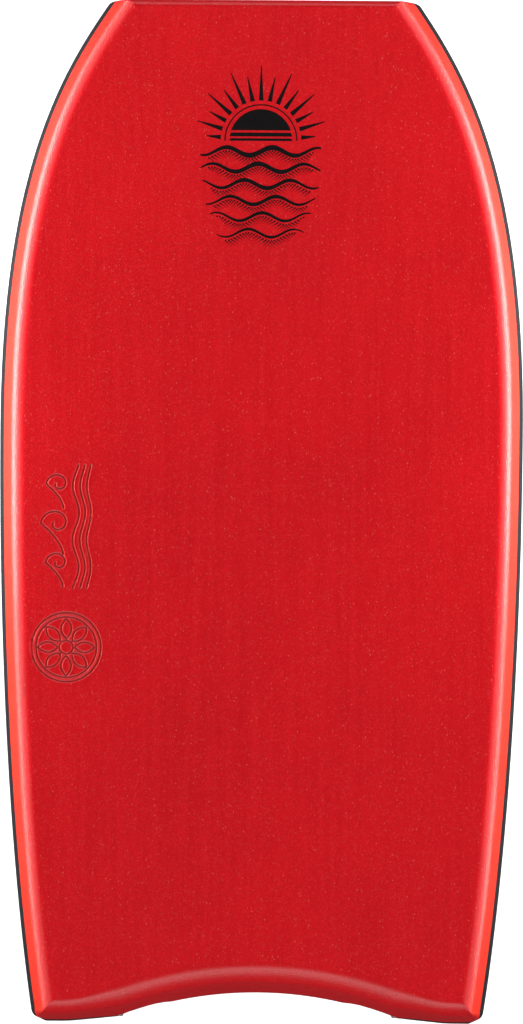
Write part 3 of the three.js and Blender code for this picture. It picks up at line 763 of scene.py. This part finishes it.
class Shader:
    """A short way to write a material's nodes."""

    def __init__(self, name):
        self.material = bpy.data.materials.new(name)
        self.material.use_nodes = True
        self.tree = self.material.node_tree
        self.surface = self.tree.nodes["Principled BSDF"]
        self.place = self.node("ShaderNodeTexCoord").outputs["Object"]

    def node(self, kind, inputs=None, **settings):
        made = self.tree.nodes.new(kind)
        for key, value in settings.items():
            setattr(made, key, value)
        for key, value in (inputs or {}).items():
            if isinstance(value, bpy.types.NodeSocket):
                self.tree.links.new(value, made.inputs[key])
            else:
                made.inputs[key].default_value = value
        return made

    def stretched(self, x, y, z):
        return self.node("ShaderNodeMapping", {"Vector": self.place, "Scale": (x, y, z)}).outputs[0]

    def noise(self, scale, detail=2.0, roughness=0.5, vector=None):
        inputs = {"Vector": vector or self.place, "Scale": scale, "Detail": detail, "Roughness": roughness}
        return self.node("ShaderNodeTexNoise", inputs).outputs["Fac"]

    def cells(self, scale, feature="F1", vector=None, smoothness=None):
        inputs = {"Vector": vector or self.place, "Scale": scale}
        if smoothness is not None:
            inputs["Smoothness"] = smoothness
        return self.node("ShaderNodeTexVoronoi", inputs, feature=feature).outputs["Distance"]

    def ranged(self, value, low, high, to_low=0.0, to_high=1.0):
        inputs = {"Value": value, "From Min": low, "From Max": high, "To Min": to_low, "To Max": to_high}
        return self.node("ShaderNodeMapRange", inputs).outputs[0]

    def maths(self, operation, a, b):
        return self.node("ShaderNodeMath", {0: a, 1: b}, operation=operation).outputs[0]

    def mix(self, factor, a, b, blend="MIX"):
        made = self.node("ShaderNodeMix", data_type="RGBA", blend_type=blend)
        for key, value in ((0, factor), (6, a), (7, b)):
            if isinstance(value, bpy.types.NodeSocket):
                self.tree.links.new(value, made.inputs[key])
            else:
                made.inputs[key].default_value = value if key == 0 else (*value, 1.0)
        return made.outputs[2]

    def bump(self, height, distance, strength=1.0, after=None):
        inputs = {"Height": height, "Distance": distance, "Strength": strength}
        if after is not None:
            inputs["Normal"] = after
        return self.node("ShaderNodeBump", inputs).outputs[0]

    def set(self, **values):
        for key, value in values.items():
            socket = self.surface.inputs[key.replace("_", " ")]
            if isinstance(value, bpy.types.NodeSocket):
                self.tree.links.new(value, socket)
            elif isinstance(value, tuple) and len(value) == 3 and socket.type == "RGBA":
                socket.default_value = (*value, 1.0)
            else:
                socket.default_value = value
        return self.material


def foam_skin(name, base, dark, light, painted_glint, rough, specular, grain=1.0, chine_painted_light=None, groove=None):
    """Closed-cell foam skin: fine pebbled grain, faint roller streaks, mottling, and tiny pale specks that
    are painted glints; optionally painted side light on the chines and painted shade in pressed grooves.
    """
    s = Shader(name)
    s.set(Specular_IOR_Level=specular)
    pebbles = s.cells(620.0, "SMOOTH_F1", smoothness=0.6)
    fine = s.noise(1500.0, 3.0, 0.6)
    streaks = s.noise(170.0, 3.0, 0.6, s.stretched(1.0, 0.03, 1.0))
    mottle = s.noise(8.0, 3.0, 0.5)
    colour = s.mix(s.ranged(mottle, 0.3, 0.7), dark, base)
    colour = s.mix(s.ranged(streaks, 0.35, 0.75, 0.0, 0.4), colour, light)
    colour = s.mix(s.ranged(pebbles, 0.25, 0.75, 0.0, 0.6), colour, dark)
    flecks = s.noise(520.0, 2.0, 0.7)
    colour = s.mix(s.ranged(flecks, 0.52, 0.72, 0.0, 0.5), colour, light)
    if chine_painted_light is not None:
        # Painted light: steep, sideways-facing skin on the chines is coloured paler and a little orange,
        # standing in for the strong side light falling on them.
        facing = s.node("ShaderNodeSeparateXYZ", {0: s.node("ShaderNodeTexCoord").outputs["Normal"]})
        slope = s.maths("ABSOLUTE", facing.outputs[0], 0.0)
        colour = s.mix(s.ranged(slope, 0.3, 0.85), colour, chine_painted_light)
    if groove is not None:
        # Painted shade: the pressed grooves are darkened in colour, standing in for the shade inside them.
        # Only the marks lie between these limits.
        place = s.node("ShaderNodeSeparateXYZ", {0: s.place})
        deep = s.ranged(place.outputs[2], 0.0548, 0.0539)
        inboard = s.ranged(place.outputs[0], -0.2475, -0.2455)
        outboard = s.ranged(place.outputs[0], -0.150, -0.152)
        fore = s.ranged(place.outputs[1], 0.068, 0.066)
        aft = s.ranged(place.outputs[1], -0.196, -0.194)
        across = s.maths("MULTIPLY", inboard, outboard)
        groove_painted_shade = s.maths("MULTIPLY", deep, s.maths("MULTIPLY", across, s.maths("MULTIPLY", fore, aft)))
        colour = s.mix(s.maths("MULTIPLY", groove_painted_shade, 0.85), colour, groove)
    # Painted glints: sparse pale specks in the colour, standing in for light caught by the pebbled facets.
    dots = s.ranged(s.cells(230.0, vector=s.stretched(1.0, 0.6, 1.0)), 0.15, 0.08)
    pick = s.ranged(s.noise(75.0, 1.0), 0.46, 0.52)
    colour = s.mix(s.maths("MULTIPLY", s.maths("MULTIPLY", dots, pick), 0.3), colour, painted_glint)
    seeds = s.ranged(s.cells(560.0, vector=s.stretched(1.0, 0.7, 1.0)), 0.40, 0.24)
    patchy = s.ranged(s.noise(210.0, 2.0, 0.6), 0.46, 0.56, 0.0, 0.075)
    colour = s.mix(s.maths("MULTIPLY", seeds, patchy), colour, painted_glint)
    grit = s.maths("ADD", s.maths("MULTIPLY", streaks, 0.5), s.maths("MULTIPLY", fine, 0.5))
    roughness = s.ranged(grit, 0.3, 0.7, rough - 0.05, rough + 0.06)
    if chine_painted_light is not None:
        # Skin that was moulded round a bend is glossier than the flat of the deck.
        s.set(Coat_Roughness=0.37, Coat_Weight=s.ranged(facing.outputs[2], 0.992, 0.955))
    swell = s.bump(s.noise(60.0, 2.0), 0.0010 * grain, 0.1)
    pebbled = s.bump(pebbles, 0.0004 * grain, 0.5, swell)
    normal = s.bump(fine, 0.00016 * grain, 0.6, pebbled)
    return s.set(Base_Color=colour, Roughness=roughness, Normal=normal, Coat_Normal=normal)


def deck_material():
    return foam_skin(
        "deck_red_foam",
        (0.72, 0.0025, 0.008),
        (0.60, 0.0015, 0.007),
        (0.86, 0.010, 0.016),
        # Painted glint colour for the pale specks.
        (0.95, 0.30, 0.22),
        rough=0.58,
        specular=0.15,
        # Painted light on the chines: a paler, more orange red.
        chine_painted_light=(0.85, 0.022, 0.005),
        # Painted shade in the pressed grooves.
        groove=(0.40, 0.001, 0.004),
    )


def rail_material():
    return foam_skin(
        "rail_charcoal_foam",
        (0.010, 0.0115, 0.013),
        (0.007, 0.008, 0.0095),
        (0.016, 0.018, 0.020),
        # Painted glint colour for the pale specks.
        (0.06, 0.065, 0.07),
        rough=0.6,
        specular=0.3,
        grain=0.8,
    )


def ink_material():
    s = Shader("print_black_ink")
    s.set(Specular_IOR_Level=0.15)
    wear = s.cells(900.0)
    thin = s.ranged(s.noise(500.0, 3.0), 0.5, 0.8, 0.0, 0.4)
    colour = s.mix(thin, (0.0015, 0.001, 0.0015), (0.02, 0.004, 0.005))
    normal = s.bump(s.cells(620.0, "SMOOTH_F1", smoothness=0.6), 0.0003, 0.4)
    return s.set(Base_Color=colour, Roughness=s.ranged(wear, 0.0, 0.8, 0.5, 0.65), Normal=normal)


def slick_material():
    s = Shader("slick_pale_plastic")
    scuffs = s.noise(90.0, 4.0, 0.6, s.stretched(1.0, 0.06, 1.0))
    cloud = s.noise(9.0, 3.0)
    colour = s.mix(s.ranged(cloud, 0.3, 0.7), (0.74, 0.76, 0.77), (0.82, 0.83, 0.83))
    colour = s.mix(s.ranged(scuffs, 0.6, 0.8, 0.0, 0.18), colour, (0.62, 0.64, 0.66))
    normal = s.bump(scuffs, 0.0002, 0.35, s.bump(s.noise(26.0, 2.0), 0.001, 0.25))
    return s.set(Base_Color=colour, Roughness=s.ranged(scuffs, 0.3, 0.8, 0.16, 0.34), Normal=normal)


def bead_foam_material():
    s = Shader("core_bead_foam")
    beads = s.cells(330.0, "SMOOTH_F1", smoothness=0.25)
    colour = s.mix(s.ranged(beads, 0.2, 0.8), (0.86, 0.86, 0.84), (0.66, 0.66, 0.63))
    colour = s.mix(s.ranged(s.noise(40.0, 2.0), 0.35, 0.7, 0.0, 0.3), colour, (0.78, 0.78, 0.73))
    roughness = s.ranged(beads, 0.2, 0.8, 0.75, 0.92)
    return s.set(Base_Color=colour, Roughness=roughness, Normal=s.bump(beads, 0.0005, 0.8))


def mesh_material():
    s = Shader("mesh_woven_plastic")
    inputs = {"Vector": s.place, "Scale": 190.0}
    warp = s.node("ShaderNodeTexWave", inputs, bands_direction="X").outputs["Fac"]
    weft = s.node("ShaderNodeTexWave", inputs, bands_direction="Y").outputs["Fac"]
    strands = s.maths("MAXIMUM", warp, weft)
    colour = s.mix(s.ranged(strands, 0.4, 0.85), (0.16, 0.19, 0.21), (0.34, 0.39, 0.42))
    roughness = s.ranged(strands, 0.0, 1.0, 0.7, 0.5)
    return s.set(Base_Color=colour, Roughness=roughness, Normal=s.bump(strands, 0.0004, 0.8))


def carbon_material():
    s = Shader("stringer_carbon")
    inputs = {"Vector": s.place, "Scale": 140.0, "Distortion": 0.4}
    weave = s.node("ShaderNodeTexWave", inputs, bands_direction="DIAGONAL").outputs["Fac"]
    colour = s.mix(weave, (0.006, 0.006, 0.007), (0.028, 0.029, 0.032))
    roughness = s.ranged(s.noise(300.0), 0.3, 0.7, 0.25, 0.4)
    return s.set(Base_Color=colour, Roughness=roughness, Normal=s.bump(weave, 0.0001, 0.5))


def cap_material():
    s = Shader("cap_moulded_plastic")
    grain = s.noise(900.0, 2.0)
    colour = s.mix(s.ranged(grain, 0.3, 0.7), (0.024, 0.028, 0.034), (0.04, 0.045, 0.052))
    roughness = s.ranged(grain, 0.3, 0.7, 0.42, 0.55)
    return s.set(Base_Color=colour, Roughness=roughness, Normal=s.bump(grain, 0.0001, 0.6))


def floor_material():
    s = Shader("floor_pale")
    colour = s.mix(s.ranged(s.noise(3.0, 2.0), 0.3, 0.7), (0.90, 0.90, 0.90), (0.92, 0.92, 0.92))
    return s.set(Base_Color=colour, Roughness=0.8, Emission_Color=(1.0, 1.0, 1.0), Emission_Strength=0.7)


def dress(piece, material, stands_for=()):
    piece.data.materials.clear()
    piece.data.materials.append(material)
    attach(piece, "root")
    if stands_for:
        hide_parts(*stands_for)


def repaint(node, material):
    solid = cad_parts[node]
    if not solid.material_slots:
        solid.data.materials.append(material)
    for place in solid.material_slots:
        place.material = material


# ---------------------------------------------------------------- assembly

red, charcoal = deck_material(), rail_material()
dress(deck_foam(), red, ["deck_skin"])
(lower_right, upper_right, lower_left, upper_left), INBOARD, NOSE_END = rails()
dress(lower_right, charcoal, ["lower_rail_right"])
dress(upper_right, charcoal, ["upper_rail_right"])
dress(lower_left, charcoal, ["lower_rail_left"])
dress(upper_left, charcoal, ["upper_rail_left"])
tail_piece, nose_piece = bumpers(INBOARD, NOSE_END)
dress(tail_piece, red, ["tail_bumper"])
dress(nose_piece, red, ["nose_bumper"])
dress(slick_sheet(), slick_material(), ["slick"])
dress(printed_mark(), ink_material())
bead_foam, cap_plastic = bead_foam_material(), cap_material()
repaint("core", bead_foam)
repaint("stringer_plug", bead_foam)
repaint("bottom_mesh", mesh_material())
repaint("stringer_tube", carbon_material())
repaint("stringer_cap_front", cap_plastic)
repaint("stringer_cap_rear", cap_plastic)

# ---------------------------------------------------------------- floor, light and camera

bpy.ops.mesh.primitive_plane_add(size=200, location=(0, 0, -0.0002))
floor = bpy.context.object
floor.name = "floor"
floor.data.materials.append(floor_material())
floor.visible_diffuse = False
floor.visible_glossy = False


def area_light(name, place, aim, size, energy):
    light = bpy.data.lights.new(name, "AREA")
    light.shape = "RECTANGLE"
    light.size, light.size_y = size
    light.energy = energy
    lamp = bpy.data.objects.new(name, light)
    lamp.location = place
    lamp.rotation_euler = (Vector(aim) - Vector(place)).to_track_quat("-Z", "Y").to_euler()
    lamp.visible_camera = False
    bpy.context.scene.collection.objects.link(lamp)


for name, side in (("left", -1), ("right", 1)):
    area_light(name + "_softbox", (0.6 * side, 0.24, 0.09), (0, 0.24, 0.09), (0.6, 0.10), 3.6)
    area_light(name + "_long_softbox", (0.62 * side, 0.17, 0.09), (0, 0.17, 0.09), (1.4, 0.10), 3.8)
    area_light(name + "_strip", (0.8 * side, 0, 0.10), (0, 0, 0.10), (3.0, 0.12), 4.8)
    area_light(name + "_panel", (1.9 * side, -0.3, 1.6), (0, -0.1, 0.05), (5.0, 1.75), 20.5)
area_light("tail_light", (0, -2.2, 2.0), (0, -0.3, 0.05), (2.4, 1.9), 34)
area_light("nose_light", (0, 2.4, 1.5), (0, 0.4, 0.05), (2.4, 1.6), 9)
area_light("deck_light", (0, 0.98, 0.72), (0, 0.42, 0.06), (2.0, 0.3), 3.4)

world = bpy.data.worlds.new("studio")
world.use_nodes = True
world.node_tree.nodes["Background"].inputs["Color"].default_value = (1, 1, 1, 1)
world.node_tree.nodes["Background"].inputs["Strength"].default_value = 0.04
scene = bpy.context.scene
scene.world = world
scene.view_settings.view_transform = "Standard"
scene.view_settings.look = "None"

CAMERA_HEIGHT, EDGE_HEIGHT, SEEN_HEIGHT = 20.0, 0.03, 1.0689
SENSOR, ROLL = 36, math.radians(0.43)
camera_data = bpy.data.cameras.new("camera")
camera_data.sensor_fit = "VERTICAL"
camera_data.sensor_height = SENSOR
camera_data.lens = SENSOR * (CAMERA_HEIGHT - EDGE_HEIGHT) / SEEN_HEIGHT
camera_data.clip_end = 60
camera = bpy.data.objects.new("camera", camera_data)
camera.location = (0.0005, 0.0004, CAMERA_HEIGHT)
camera.rotation_euler = (0, 0, ROLL)
scene.collection.objects.link(camera)
scene.camera = camera
